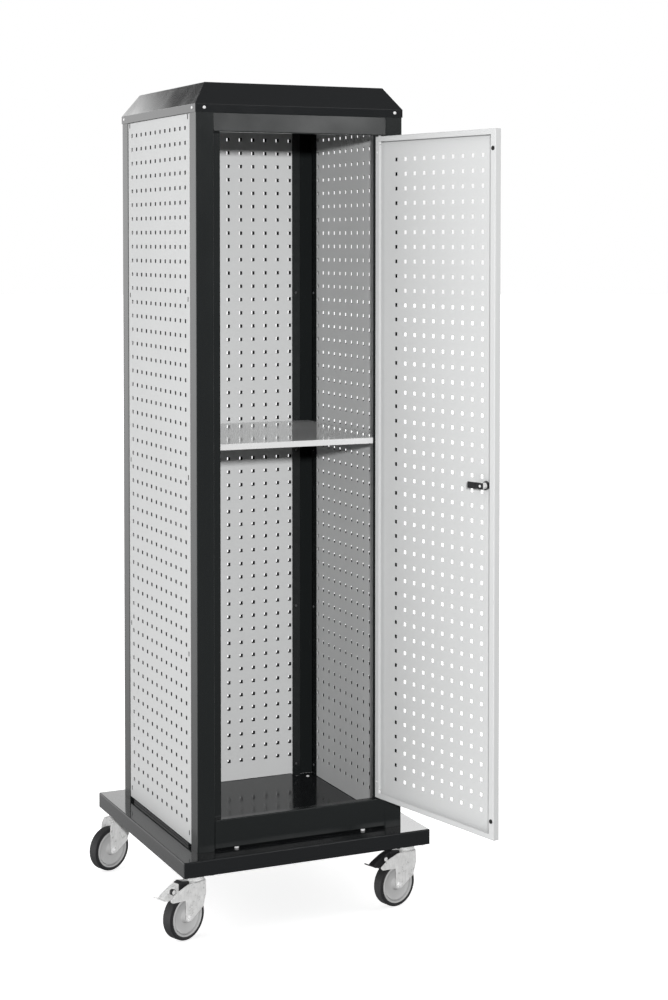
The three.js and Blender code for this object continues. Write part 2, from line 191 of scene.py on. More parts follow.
def plated(name, colour, roughness, metal, streak=(1, 1, 0.12)):
    """Zinc plate: metal with upright drawing marks, cloudy passivation and dull spots."""
    n = Nodes(name)
    lines = n.noise(300, 3, 0.6, streak)
    cloud = n.noise(70, 4)
    tone = n.mix(n.span(cloud, 0.35, 0.7, 0, 1), shade(colour, 0.86), shade(colour, 1.06))
    tone = n.mix(n.span(lines, 0.45, 0.75, 0, 0.5), tone, shade(colour, 0.66))
    gloss = n.span(cloud, 0.3, 0.7, roughness - 0.06, roughness + 0.1)
    return n.set(Base_Color=tone, Metallic=metal, Roughness=gloss, Normal=n.bump(cloud, 0.25, 0.0006))


def rubber(name, colour, roughness=0.62, scuff=0.3):
    n = Nodes(name)
    fine = n.noise(900, 3)
    worn = n.span(n.noise(38, 5), 0.45, 0.75, 0, scuff)
    tone = n.mix(worn, (*colour, 1), shade(colour, 1.7))
    gloss = n.span(fine, 0.3, 0.7, roughness - 0.08, roughness + 0.12)
    return n.set(Base_Color=tone, Roughness=gloss, Normal=n.bump(fine, 0.25, 0.0002))


def moulded(name, colour, roughness, grain=1500, relief=0.12):
    """Moulded plastic: an even spark-eroded grain with slow flow marks."""
    n = Nodes(name)
    fine = n.noise(grain, 2)
    flow = n.noise(26, 3, 0.5, (1, 1, 0.3))
    tone = n.mix(n.span(flow, 0.3, 0.7, 0, 1), shade(colour, 0.95), shade(colour, 1.06))
    gloss = n.span(flow, 0.3, 0.7, roughness - 0.04, roughness + 0.06)
    return n.set(Base_Color=tone, Roughness=gloss, Normal=n.bump(fine, relief, 0.0001))


ANTHRACITE = powder_coat("anthracite_coat", (0.0105, 0.0120, 0.0122), 0.19, 700, 0.05, 0.06, 0.012)
GLOSSY_DARK = powder_coat("anthracite_gloss", (0.0100, 0.0108, 0.0116), 0.09, 500, 0.02, 0.06, 0.012)
FLOOR_DARK = powder_coat("anthracite_floor", (0.0100, 0.0108, 0.0116), 0.12, 500, 0.02, 0.06, 0.008, 1.27)
ROOF_TOP = powder_coat("anthracite_roof_top", (0.0115, 0.0125, 0.0128), 0.42, 700, 0.05, 0.06, 0.014, 1.28)
LIGHT_GREY = powder_coat("light_grey_coat", (0.525, 0.53, 0.53), 0.55, 1100, 0.10, 0.015)
# Painted shade: on the real cabinet the faces inside the double wall and the hole walls are the same light
# grey; this near-black coat paints the hollow's shade onto them
HOLLOW_PAINTED_SHADE = powder_coat("painted_shade_inside_walls", (0.020, 0.020, 0.021), 0.7, 600, 0.08)
SHELF_GREY = powder_coat("shelf_grey_coat", (0.56, 0.56, 0.56), 0.07, 800, 0.015, 0.02)
ZINC = plated("zinc_plate", (0.80, 0.80, 0.795), 0.30, 0.28)
DARK_STEEL = plated("dull_steel", (0.20, 0.20, 0.21), 0.35, 0.7, (1, 1, 1))
BRIGHT_STEEL = plated("bright_steel", (0.90, 0.90, 0.90), 0.22, 0.30, (1, 1, 1))
TYRE = rubber("tyre_rubber", (0.015, 0.015, 0.016), 0.55, 0.35)
BLACK_RUBBER = rubber("bumper_rubber", (0.012, 0.012, 0.012), 0.7, 0.1)
RIM = moulded("rim_plastic", (0.40, 0.40, 0.40), 0.42)
BLACK_PLASTIC = moulded("black_plastic", (0.014, 0.014, 0.015), 0.34)


# ---------------------------------------------------------------- mesh building

def joined(*parts):
    """Several (vertices, faces) pairs as one."""
    verts, faces = [], []
    for part_verts, part_faces in parts:
        start = len(verts)
        verts += part_verts
        faces += [[start + i for i in face] for face in part_faces]
    return verts, faces


def placed(part, matrix):
    return [matrix @ Vector(v) for v in part[0]], part[1]


def piece(name, part, material, body, replaces=(), bevel=0.0, sharp=30, matrix=None):
    """One object of the model: it gets its mesh, its material and the body that it rides on."""
    verts, faces = placed(part, matrix) if matrix else part
    mesh = bpy.data.meshes.new(name)
    mesh.from_pydata([tuple(v) for v in verts], [], faces)
    made = bmesh.new()
    made.from_mesh(mesh)
    bmesh.ops.remove_doubles(made, verts=made.verts, dist=NEAR)
    bmesh.ops.recalc_face_normals(made, faces=made.faces)
    made.to_mesh(mesh)
    made.free()
    mesh.polygons.foreach_set("use_smooth", [True] * len(mesh.polygons))
    mesh.set_sharp_from_angle(angle=math.radians(sharp))
    mesh.materials.append(material)
    thing = bpy.data.objects.new(name, mesh)
    bpy.context.scene.collection.objects.link(thing)
    if bevel:
        soften(thing, bevel)
    flat = thing.modifiers.new("flat_faces", "WEIGHTED_NORMAL")
    flat.keep_sharp = True
    if replaces:
        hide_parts(*replaces)
    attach(thing, body)
    return thing


def coat_side(thing, direction, material, small=0.0):
    """Faces that look one way, and faces under a small area, get a second material."""
    thing.data.materials.append(material)
    for face in thing.data.polygons:
        if face.normal.dot(direction) > 0.9 or face.area < small:
            face.material_index = 1


def soften(thing, width):
    """Rounds a piece's hard edges."""
    rounder = thing.modifiers.new("edges", "BEVEL")
    rounder.width = width
    rounder.segments = 2
    rounder.limit_method = "ANGLE"
    rounder.angle_limit = math.radians(35)
    rounder.harden_normals = True


def finish_node(node, material, bevel=0.0):
    """A CAD node that keeps its own shape."""
    thing = frame["nodes"][node]
    thing.data.materials.clear()
    thing.data.materials.append(material)
    if bevel:
        soften(thing, bevel)


def turned_normal(direction):
    return Vector((-direction.y, direction.x))


def corner_arc(a, b, c, radius, steps):
    """The round corner at b on the way from a to c, as (point, left normal) pairs."""
    before, after = (b - a).normalized(), (c - b).normalized()
    turn = math.atan2(before.cross(after), before.dot(after))
    start = b - before * radius * math.tan(abs(turn) / 2)
    side = math.copysign(1, turn)
    centre = start + turned_normal(before) * side * radius
    normals = [Matrix.Rotation(turn * step / steps, 2) @ turned_normal(before) for step in range(steps + 1)]
    return [(centre - normal * side * radius, normal) for normal in normals]


def fillet(points, radius, steps=4):
    """An open line of 2-D points with round corners, as (point, left normal) pairs."""
    pts = [Vector(p) for p in points]
    first = (pts[1] - pts[0]).normalized()
    last = (pts[-1] - pts[-2]).normalized()
    rounded = [(pts[0], turned_normal(first))]
    for a, b, c in zip(pts, pts[1:], pts[2:]):
        rounded += corner_arc(a, b, c, radius, steps)
    return rounded + [(pts[-1], turned_normal(last))]


def rounded_outline(corners, steps=6):
    """A closed outline from (x, y, radius) corners."""
    pts = [Vector(corner[:2]) for corner in corners]
    outline = []
    for a, b, c, corner in zip(pts[-1:] + pts[:-1], pts, pts[1:] + pts[:1], corners):
        outline += [point for point, _ in corner_arc(a, b, c, corner[2], steps)]
    return outline


def rectangle(half_x, half_y, radius, centre=(0, 0)):
    """The corners of a rectangle, for rounded_outline."""
    x, y = centre
    return [(x - half_x, y - half_y, radius), (x + half_x, y - half_y, radius),
            (x + half_x, y + half_y, radius), (x - half_x, y + half_y, radius)]


def folded(points, thickness, lo, hi, plane="xy"):
    """A bent strip of sheet: its middle line in a plane, drawn from lo to hi across that plane."""
    line = fillet(points, FOLD)
    count = len(line)
    verts = []
    for level in (lo, hi):
        for side in (0.5, -0.5):
            for point, normal in line:
                u, v = point + normal * thickness * side
                verts.append((u, v, level) if plane == "xy" else (level, u, v))
    a, b, c, d = (range(start, start + count) for start in (0, count, 2 * count, 3 * count))
    faces = []
    for i in range(count - 1):
        faces += [
            (a[i], a[i + 1], c[i + 1], c[i]),
            (b[i + 1], b[i], d[i], d[i + 1]),
            (a[i + 1], a[i], b[i], b[i + 1]),
            (c[i], c[i + 1], d[i + 1], d[i]),
        ]
    faces += [(a[0], c[0], d[0], b[0]), (a[-1], b[-1], d[-1], c[-1])]
    return verts, faces


def loft(loops, closed=False, ends=True):
    """Rings of equally many points joined one to the next."""
    count = len(loops[0])
    verts = [tuple(p) for loop in loops for p in loop]
    faces = []
    pairs = list(zip(range(len(loops)), range(1, len(loops))))
    if closed:
        pairs.append((len(loops) - 1, 0))
    for low, high in pairs:
        for i in range(count):
            j = (i + 1) % count
            faces.append((low * count + i, low * count + j, high * count + j, high * count + i))
    if ends and not closed:
        faces.append(tuple(reversed(range(count))))
        faces.append(tuple(range((len(loops) - 1) * count, len(loops) * count)))
    return verts, faces


def slab(outline, lo, hi, edge=0.0, plane="xy"):
    """An outline drawn to a thickness, with both rims eased by edge."""
    def level(height, inset):
        ring = inset_outline(outline, inset) if inset else outline
        if plane == "xz":
            return [(p[0], height, p[1]) for p in ring]
        return [(p[0], p[1], height) for p in ring]

    if not edge:
        return loft([level(lo, 0), level(hi, 0)])
    slope = edge * 0.35
    levels = [(lo, edge), (lo + slope, slope), (lo + edge, 0)]
    levels += [(hi - edge, 0), (hi - slope, slope), (hi, edge)]
    return loft([level(height, inset) for height, inset in levels])


def inset_outline(outline, amount):
    """An outline moved inwards by a small amount."""
    pts = [Vector(p) for p in outline]
    area = sum(a.cross(b) for a, b in zip(pts, pts[1:] + pts[:1]))
    side = math.copysign(1, area)
    moved = []
    for before, here, after in zip(pts[-1:] + pts[:-1], pts, pts[1:] + pts[:1]):
        one, two = (here - before), (after - here)
        normal = turned_normal(one.normalized()) + turned_normal(two.normalized())
        moved.append(here + normal.normalized() * side * amount)
    return moved


def circle(radius, count):
    angles = [2 * math.pi * i / count for i in range(count)]
    return [Vector((radius * math.cos(a), radius * math.sin(a))) for a in angles]


def turned(profile, count=40, closed=True, axis="y", centre=(0, 0, 0)):
    """A (radius, along) profile turned about an axis."""
    loops = []
    for radius, along in profile:
        ring = []
        for p in circle(radius, count):
            point = (p.x, along, p.y) if axis == "y" else (p.x, p.y, along)
            ring.append(Vector(point) + Vector(centre))
        loops.append(ring)
    return loft(loops, closed=closed, ends=not closed)


def arc(centre, radius, start, end, steps=6):
    """Points round a centre, with the angles in degrees."""
    angles = [math.radians(start + (end - start) * i / steps) for i in range(steps + 1)]
    return [(centre[0] + radius * math.cos(a), centre[1] + radius * math.sin(a)) for a in angles]


def holed_plate(columns, rows, size, corner, span, near, far, keep_edges=False):
    """A flat plate with a grid of square holes, between depths near and far.
    columns and rows are the hole centres, size is a hole's (width, height), and span its own limits."""
    (u0, u1), (v0, v1) = span
    u_cuts = [u0] + [(a + b) / 2 for a, b in zip(columns, columns[1:])] + [u1]
    v_cuts = [v0] + [(a + b) / 2 for a, b in zip(rows, rows[1:])] + [v1]
    ring = [(p.x, p.y) for p in rounded_outline(rectangle(size[0] / 2, size[1] / 2, corner), 2)]
    count = len(ring)
    # Each cell holds its four corners and then the hole's ring, once at each depth
    layer_size = 4 + count
    per_side = count // 4
    verts, faces = [], []
    for j, v in enumerate(rows):
        for i, u in enumerate(columns):
            base = len(verts)
            for depth in (near, far):
                verts += [(u_cuts[i], depth, v_cuts[j]), (u_cuts[i + 1], depth, v_cuts[j])]
                verts += [(u_cuts[i + 1], depth, v_cuts[j + 1]), (u_cuts[i], depth, v_cuts[j + 1])]
                verts += [(u + x, depth, v + y) for x, y in ring]
            for layer in (0, layer_size):
                for side in range(4):
                    hole_side = [4 + (per_side * side + k) % count for k in (4, 3, 2, 1)]
                    faces.append([base + layer + k for k in [side, (side + 1) % 4] + hole_side])
            for k in range(count):
                here, there = base + 4 + k, base + 4 + (k + 1) % count
                faces.append([here, there, there + layer_size, here + layer_size])
    if keep_edges:
        sides = [((u0, v0), (u1, v0)), ((u0, v1), (u1, v1)), ((u0, v0), (u0, v1)), ((u1, v0), (u1, v1))]
        for a, b in sides:
            base = len(verts)
            verts += [(a[0], near, a[1]), (b[0], near, b[1]), (b[0], far, b[1]), (a[0], far, a[1])]
            faces.append([base, base + 1, base + 2, base + 3])
    return verts, faces


def framed(section, span, lips=(0, 0, 0, 0)):
    """A closed section swept round a rectangle with mitred corners. section(lip) gives (inset, depth)
    points; lips are the values for the left, bottom, right and top sides."""
    (u0, u1), (v0, v1) = span
    left, bottom, right, top = (section(lip) for lip in lips)
    loops = []
    for a, b, c, d in zip(left, bottom, right, top):
        depth = a[1]
        loops.append([
            (u0 + a[0], depth, v0 + b[0]),
            (u1 - c[0], depth, v0 + b[0]),
            (u1 - c[0], depth, v1 - d[0]),
            (u0 + a[0], depth, v1 - d[0]),
        ])
    return loft(loops, closed=True)


def turned_edge(face, tip):
    """A section for framed(): it runs from a face round a fold to a tip, whatever the lip."""
    centre = (FOLD, face - FOLD)
    outside = arc(centre, FOLD, 90, 180, 4) + [(0, tip)]
    inside = [(SHEET, tip)] + arc(centre, FOLD - SHEET, 180, 90, 4)
    return lambda _: outside + inside


def without_cap(part, height):
    """Drops a loft's end face at a height, where the piece is open."""
    verts, faces = part
    return verts, [f for f in faces if not (len(f) > 4 and abs(verts[f[0]][2] - height) < NEAR)]


# ---------------------------------------------------------------- screws

def screw_head(radius, height, socket):
    """A button head with a recess, standing along +Z from its seat."""
    dome = [(0.0001, height - socket)]
    dome += [(radius * 0.42, height - socket), (radius * 0.45, height * 0.97)]
    dome += arc((radius - height, 0), height, 78, 0, 5)
    dome += [(radius, -0.0004), (0.0001, -0.0004)]
    return turned(dome, 20, closed=False, axis="z")


def towards(point, direction):
    """A matrix that takes +Z to a direction and the origin to a point."""
    turn = Vector((0, 0, 1)).rotation_difference(Vector(direction))
    return Matrix.Translation(Vector(point)) @ turn.to_matrix().to_4x4()


def scattered(part, places):
    """Copies of a part at (point, direction) places, as one."""
    return joined(*[placed(part, towards(point, direction)) for point, direction in places])


def screws(name, places, radius, height, material, body):
    head = screw_head(radius, height, height * 0.55)
    piece(name, scattered(head, places), material, body)


# ---------------------------------------------------------------- platform

def rounded_square(half, radius, height, steps=4):
    return [(p.x, p.y, height) for p in rounded_outline(rectangle(half, half, radius), steps)]


def platform():
    lo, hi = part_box("platform_tray")
    half, bottom, top = hi[0], lo[2], hi[2]
    sheet, ease = 0.002, 0.003
    # A ring a little inside the edge keeps the top flat
    flat = 0.02
    # The section from the foot up and over the eased edge, as (inset, height)
    outer = [(0, bottom)] + [(ease - x, top - ease + y) for x, y in arc((0, 0), ease, 0, 90, 5)]
    loops = [rounded_square(half - inset, 0.004 - min(inset, 0.003), z) for inset, z in outer]
    loops.append(rounded_square(half - flat, 0.001, top))
    inner = [rounded_square(half - sheet - flat, 0.001, top - sheet)]
    inner.append(rounded_square(half - sheet, 0.002, top - sheet - 0.001))
    inner.append(rounded_square(half - sheet, 0.002, bottom))
    shell = joined(loft(loops), loft(inner), loft([inner[-1], loops[0]], ends=False))
    piece("platform_shell", without_cap(shell, bottom), GLOSSY_DARK, "cabinet", ["platform_tray"], sharp=25)
    finish_node("caster_rail_left", ANTHRACITE, 0.0006)
    finish_node("caster_rail_right", ANTHRACITE, 0.0006)
    finish_node("base_floor", FLOOR_DARK, 0.0005)


# ---------------------------------------------------------------- cabinet frame

def post(name, side_x, side_y):
    depth = FRONT_RETURN if side_y < 0 else SIDE_RETURN
    t = FRAME_SHEET / 2
    outer, back_y, back_x, inside = HALF - t, HALF - depth - t, HALF - SIDE_RETURN - t, POST_INSIDE + t
    line = [(FLANGE_TIP, back_y), (inside, back_y), (inside, outer), (outer, outer), (outer, inside),
            (back_x, inside), (back_x, FLANGE_TIP)]
    line = [(side_x * x, side_y * y) for x, y in line]
    lo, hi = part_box(name)
    piece(name + "_profile", folded(line, FRAME_SHEET, lo[2], hi[2]), ANTHRACITE, "cabinet", [name])


def rail(name, lean=0.0):
    """A channel across the front, open to the back, its face leaning back a little towards its top."""
    lo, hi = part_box(name)
    t = FRAME_SHEET / 2
    line = [(hi[1], lo[2] + t), (lo[1] + t, lo[2] + t), (lo[1] + t + lean, hi[2] - t), (hi[1], hi[2] - t)]
    channel = folded(line, FRAME_SHEET, lo[0], hi[0], plane="yz")
    piece(name + "_channel", channel, ANTHRACITE, "cabinet", [name])


def roof():
    lo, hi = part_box("roof_cap")
    half, skirt, top = hi[0], lo[2], hi[2]
    eaves = skirt + 0.0208
    inset = 0.040
    slope = math.degrees(math.atan2(top - eaves, inset))
    ease = 0.0025
    # The section from the skirt's foot over the eaves and up to the flat top, as (inset, height)
    knee = arc((ease, eaves - ease * math.tan(math.radians((90 - slope) / 2))), ease, 180, 90 + slope, 4)
    brow_y = top - ease
    brow_x = inset + ease * math.tan(math.radians(slope / 2))
    brow = arc((brow_x, brow_y), ease, 90 + slope, 90, 4)
    outside = [(0, skirt)] + knee + brow
    t = FRAME_SHEET
    inside = [(brow_x + 0.001, top - t), (inset + t, top - t - 0.001), (t + 0.001, eaves - t), (t, skirt)]
    loops = [rounded_square(half - x, max(0.0015, 0.003 - x * 0.02), z, 3) for x, z in outside]
    shell = joined(loft(loops), loft([rounded_square(half - x, 0.001, z, 3) for x, z in inside]),
                   loft([rounded_square(half - t, 0.001, skirt, 3), loops[0]], ends=False))
    cap = piece("roof_shell", without_cap(shell, skirt), GLOSSY_DARK, "cabinet", ["roof_cap"], sharp=25)
    coat_side(cap, Vector((0, 0, 1)), ROOF_TOP)
    finish_node("top_deck", ANTHRACITE, 0.0005)
    screw_height, screw_line = skirt + 0.0118, 0.268
    places = []
    for along in (-screw_line, screw_line):
        for side in (-1, 1):
            places.append(((along, side * half, screw_height), (0, side, 0)))
            places.append(((side * half, along, screw_height), (side, 0, 0)))
    screws("roof_screws", places, 0.0042, 0.0022, BRIGHT_STEEL, "cabinet")


def frame_screws():
    """The screws that hold the inner flanges, and the bolts at the posts' feet."""
    front = -(HALF - FRONT_RETURN - FRAME_SHEET)
    back = HALF - SIDE_RETURN - FRAME_SHEET
    front_line, back_line, side_line = 0.2275, 0.2285, 0.2345
    places = []
    for side_x in (-1, 1):
        for z in SCREW_HEIGHTS:
            places.append(((side_x * front_line, front, z), (0, 1, 0)))
            places.append(((side_x * back_line, back, z), (0, -1, 0)))
            places.append(((side_x * back, -side_line, z), (-side_x, 0, 0)))
            places.append(((side_x * back, side_line, z), (-side_x, 0, 0)))
    screws("flange_screws", places, 0.0036, 0.0018, DARK_STEEL, "cabinet")
    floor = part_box("base_floor")[1][2]
    foot_x, foot_y = 0.246, 0.225
    feet = []
    for side_x in (-1, 1):
        for side_y in (-1, 1):
            feet.append(((side_x * foot_x, side_y * foot_y, floor), (0, 0, 1)))
    screws("foot_bolts", feet, 0.0048, 0.003, ZINC, "cabinet")
    for side in ("left", "right"):
        finish_node("sill_bolt_" + side, BRIGHT_STEEL, 0.0004)


# ---------------------------------------------------------------- walls

WALL_COLUMNS = [PITCH * (i - 5.5) for i in range(12)]
WALL_ROWS = [0.269 + PITCH * i for i in range(48)]


def wall(side, quarter_turns):
    turn = Matrix.Rotation(math.radians(90 * quarter_turns), 4, "Z")
    lo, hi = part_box("right_outer_skin")
    inner_lo, inner_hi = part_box("right_inner_skin")
    # Along a wall, u runs from -half to half; depth is the distance from the cabinet's middle
    half, bottom, top, face = hi[1], lo[2], hi[2], hi[0]
    to_world = turn @ Matrix(((0, 1, 0, 0), (1, 0, 0, 0), (0, 0, 1, 0), (0, 0, 0, 1)))
    # The field of holes ends at this distance from the middle, and the strips with the slots begin
    edge = 0.2185
    far = face - SHEET
    upright = (bottom + FOLD, top - FOLD)
    field = ((-edge, edge), upright)
    parts = [holed_plate(WALL_COLUMNS, WALL_ROWS, (HOLE, HOLE), HOLE_CORNER, field, face, far)]
    for sign in (-1, 1):
        strip = (sorted((sign * edge, sign * (half - FOLD))), upright)
        parts.append(holed_plate([sign * SLOT_LINE], SCREW_HEIGHTS, SLOT_SIZE, 0.0012, strip, face, far))
    parts.append(framed(turned_edge(face, lo[0]), ((-half, half), (bottom, top))))
    cassette = piece(side + "_outer_cassette", joined(*parts), LIGHT_GREY, "cabinet", [side + "_outer_skin"],
                     matrix=to_world, sharp=25)
    outwards = turn @ Vector((1, 0, 0))
    # Painted shade on the skin's face towards the hollow and on the hole walls
    coat_side(cassette, -outwards, HOLLOW_PAINTED_SHADE, HOLE_WALL)
    clips = []
    for u in (-SLOT_LINE, SLOT_LINE):
        for z in SCREW_HEIGHTS:
            plate = rectangle(0.0065, 0.0095, 0.001, (u, z))
            clips.append(slab(rounded_outline(plate, 2), far - 0.0022, far - 0.0002, 0, "xz"))
    piece(side + "_wall_clips", joined(*clips), BLACK_RUBBER, "cabinet", matrix=to_world)
    inner = holed_plate(WALL_COLUMNS, WALL_ROWS, (HOLE, HOLE), HOLE_CORNER, ((-half, half), (bottom, top)),
                        inner_lo[0], inner_hi[0], keep_edges=True)
    panel = piece(side + "_inner_panel", inner, LIGHT_GREY, "cabinet", [side + "_inner_skin"],
                  matrix=to_world, sharp=25)
    # Painted shade on the inner panel's face towards the hollow
    coat_side(panel, outwards, HOLLOW_PAINTED_SHADE)


# ---------------------------------------------------------------- shelf

def shelf():
    lo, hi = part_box("shelf")
    x0, x1, y0, y1, top = lo[0] + FOLD, hi[0] - FOLD, lo[1] + FOLD, hi[1] - FOLD, hi[2]
    rim = framed(turned_edge(top, lo[2]), ((lo[0], hi[0]), (lo[1], hi[1])))
    laid_flat = Matrix(((1, 0, 0, 0), (0, 0, 1, 0), (0, 1, 0, 0), (0, 0, 0, 1)))
    corners = [(x0, y0), (x1, y0), (x1, y1), (x0, y1)]
    deck = loft([[(x, y, z) for x, y in corners] for z in (top - SHEET, top)])
    piece("shelf_tray", joined(placed(rim, laid_flat), deck), SHELF_GREY, "cabinet", ["shelf"], sharp=25)
    for end in ("front", "rear"):
        for side in ("left", "right"):
            finish_node(f"shelf_clip_{end}_{side}", ZINC, 0.0003)


# ---------------------------------------------------------------- door

DOOR_PLACE = Matrix.Translation(HINGE * Vector((1, 1, 0))) @ Matrix.Rotation(DOOR_ANGLE, 4, "Z")


def door_leaf():
    lo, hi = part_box("door_leaf")
    bottom, top = lo[2], hi[2]
    u0, u1 = HINGE_EDGE - DOOR_WIDTH, HINGE_EDGE
    t, fold = SHEET, 0.0022
    middle = HINGE_EDGE - DOOR_WIDTH / 2
    columns = [middle + PITCH * (i - (DOOR_COLUMNS - 1) / 2) for i in range(DOOR_COLUMNS)]
    rows = [DOOR_TOP_ROW - PITCH * (DOOR_ROWS - 1 - i) for i in range(DOOR_ROWS)]
    field = ((u0 + fold, u1 - fold), (bottom + fold, top - fold))
    sheet = holed_plate(columns, rows, (HOLE, HOLE), HOLE_CORNER, field, DOOR_FACE, DOOR_FACE + t)

    def section(lip):
        near, far = DOOR_FACE + fold, DOOR_BACK - fold
        outside = arc((fold, near), fold, 270, 180, 4) + arc((fold, far), fold, 180, 90, 4)
        inside = arc((fold, far), fold - t, 90, 180, 4) + arc((fold, near), fold - t, 180, 270, 4)
        return outside + [(lip, DOOR_BACK), (lip, DOOR_BACK - t)] + inside

    rim = framed(section, ((u0, u1), (bottom, top)), (0.0175, 0.014, 0.015, 0.014))
    piece("door_panel", joined(sheet, rim), LIGHT_GREY, "door", ["door_leaf"], matrix=DOOR_PLACE, sharp=25)


def door_trim():
    for name in ("hinge_pin_bottom", "hinge_pin_top"):
        finish_node(name, BRIGHT_STEEL, 0.0003)
    lo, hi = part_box("door_leaf")
    free = HINGE_EDGE - DOOR_WIDTH
    for name, z in (("bottom", lo[2] + 0.047), ("top", hi[2] - 0.048)):
        dome = [(0.0001, 0.0023), (0.0022, 0.0023), (0.0024, 0.0014), (0.0032, 0.0014), (0.0034, 0.0023)]
        dome += arc((0.0042, 0.0010), 0.0013, 90, 0, 5) + [(0.0055, -0.0002), (0.0001, -0.0002)]
        buffer = placed(turned(dome, 28, closed=False, axis="z"),
                        towards((free + 0.0085, DOOR_BACK, z), (0, 1, 0)))
        piece(f"door_buffer_{name}", buffer, BLACK_RUBBER, "door", ["door_bumper_" + name], matrix=DOOR_PLACE)
    # A rivet near each end of the hinge-side lip
    rivets = [((HINGE_EDGE - 0.0075, DOOR_BACK, z), (0, 1, 0)) for z in (lo[2] + 0.044, hi[2] - 0.042)]
    head = screw_head(0.0028, 0.0012, 0.0003)
    piece("door_rivets", scattered(head, rivets), ZINC, "door", matrix=DOOR_PLACE)
    finish_node("lock_body", ZINC, 0.0004)
    finish_node("lock_nut", BLACK_PLASTIC, 0.0006)
    finish_node("lock_core", BRIGHT_STEEL, 0.0003)
    finish_node("lock_cam", BLACK_PLASTIC, 0.0005)


# ---------------------------------------------------------------- casters

def mm(points):
    return [tuple(value * MM for value in point) for point in points]


def fork_outline(braked):
    """A fork leg from the side: (x, z, corner radius), the swivel axis at x 0 and the wheel behind it."""
    front = [(16, 144, 5), (18, 110, 30), (7, 76, 14), (-35, 49.5, 9), (-51, 49.5, 7)]
    wing = [(-54, 105, 3), (-99, 109, 3), (-108, 116, 4), (-82, 133, 18), (-46, 144, 25)]
    plain = [(-54, 104, 10), (-52, 128, 10), (-43, 144, 6)]
    corners = mm(front + (wing if braked else plain))
    return rounded_outline(corners, 6)


def fork(corner, braked, place):
    outside = FORK_INSIDE + FORK_SHEET
    legs = [slab(fork_outline(braked), sign * FORK_INSIDE, sign * outside, 0, "xz") for sign in (-1, 1)]
    crown = slab(rounded_outline(mm(rectangle(22, 21.5, 3, (-5, 0))), 4), 0.141, 0.1445, 0.0008)
    race = [(0.0065, 0.1440), (0.0218, 0.1440)] + arc((0.0212, 0.1463), 0.0015, -70, 80, 6)
    race += [(0.0195, 0.1490), (0.0190, 0.1500), (0.0065, 0.1500)]
    ring = turned(race, 40, closed=True, axis="z")
    piece(corner + "_yoke", joined(*legs, crown, ring), ZINC, corner + "_swivel", [corner + "_fork"],
          matrix=place, bevel=0.0005)


def wheel(corner, place):
    """A rim and a tyre, each from half a profile and its mirror image."""
    body = corner + "_wheel"
    centre = (-TRAIL, 0, WHEEL_RADIUS)
    hub = [(5.4, -18), (13.0, -18), (13.8, -17.2), (15.0, -12), (17.5, -8.6)]
    disc = [(22, -8.0), (34, -8.2), (39.5, -10.4), (42.0, -11.6), (43.2, -10.6), (43.8, -7.6), (45.4, -7.6)]
    ring = [(46.0, -14.4), (46.8, -15.3), (49.8, -15.4), (50.5, -14.6)]
    half = hub + disc + ring
    rim = turned(mm(half + [(r, -y) for r, y in reversed(half)]), 56, centre=centre)
    piece(corner + "_wheel_rim", rim, RIM, body, [corner + "_rim"], matrix=place, sharp=28)
    half = [(50.7, -15.2), (52.2, -15.8), (54.5, -15.6)] + arc((55.0, -10.5), 5.0, -88, -14, 6)
    seam = [(60.0, -4.0), (60.0, -0.5), (59.8, 0), (60.0, 0.5), (60.0, 4.0)]
    tyre = turned(mm(half + seam + [(r, -y) for r, y in reversed(half)]), 72, centre=centre)
    piece(corner + "_wheel_tyre", tyre, TYRE, body, [corner + "_tyre"], matrix=place, sharp=40)


def axle(corner, place):
    """The bolt through the fork, with a washer, a hexagon and a stub at each end."""
    at = (-TRAIL, 0, WHEEL_RADIUS)
    end = FORK_INSIDE + FORK_SHEET
    parts = [turned([(0.005, -end), (0.005, end)], 20, closed=False, centre=at)]
    for sign, height in ((-1, 5.0), (1, 6.0)):
        washer = mm([(8.6, sign * 21.8), (8.6, sign * 23.0), (0.1, sign * 23.0), (0.1, sign * 21.8)])
        parts.append(turned(washer, 28, closed=False, centre=at))
        nut = slab(circle(0.0068, 6), sign * 0.0230, sign * (0.0230 + height * MM), 0, "xz")
        parts.append(placed(nut, Matrix.Translation(Vector(at))))
        neck, tip = sign * (22.5 + height + 1.6), sign * (22.5 + height + 2.2)
        stub = mm([(4.2, sign * 23), (4.2, neck), (3.4, tip), (0.1, tip)])
        parts.append(turned(stub, 20, closed=False, centre=at))
    piece(corner + "_axle", joined(*parts), BRIGHT_STEEL, corner + "_swivel", [corner + "_axle_bolt"],
          matrix=place, bevel=0.0004)


